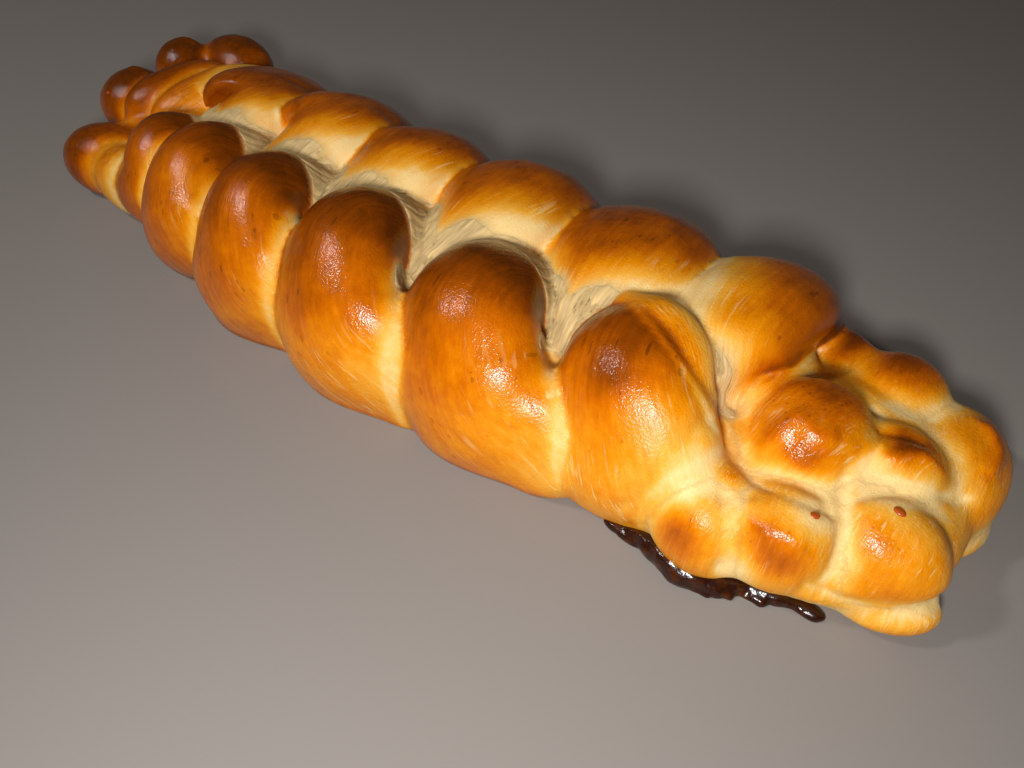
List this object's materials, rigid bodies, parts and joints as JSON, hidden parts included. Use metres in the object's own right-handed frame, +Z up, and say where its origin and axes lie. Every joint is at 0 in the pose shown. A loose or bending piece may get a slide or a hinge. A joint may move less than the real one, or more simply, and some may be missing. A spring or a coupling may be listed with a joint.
{
  "type": "braided loaf",
  "caption": "Plaited white bread with fat crossing rolls, knobbly pinched ends and a flat base, baked glossy brown",
  "frame": {"origin": "middle of the box round the loaf, on the flat face that it rests on", "axes": "+X along the loaf to its broad knobbly end, +Y to the side whose rolls dive under the others, +Z up"},
  "size_m": [0.3926, 0.1282, 0.0546],
  "materials": {
    "crust": "thin baked bread crust under egg wash, glossy orange-brown on the crowns, golden lower down and pale and matt where the dough stretched"
  },
  "bodies": {
    "root": {"loaf": "crust"}
  },
  "joints": []
}
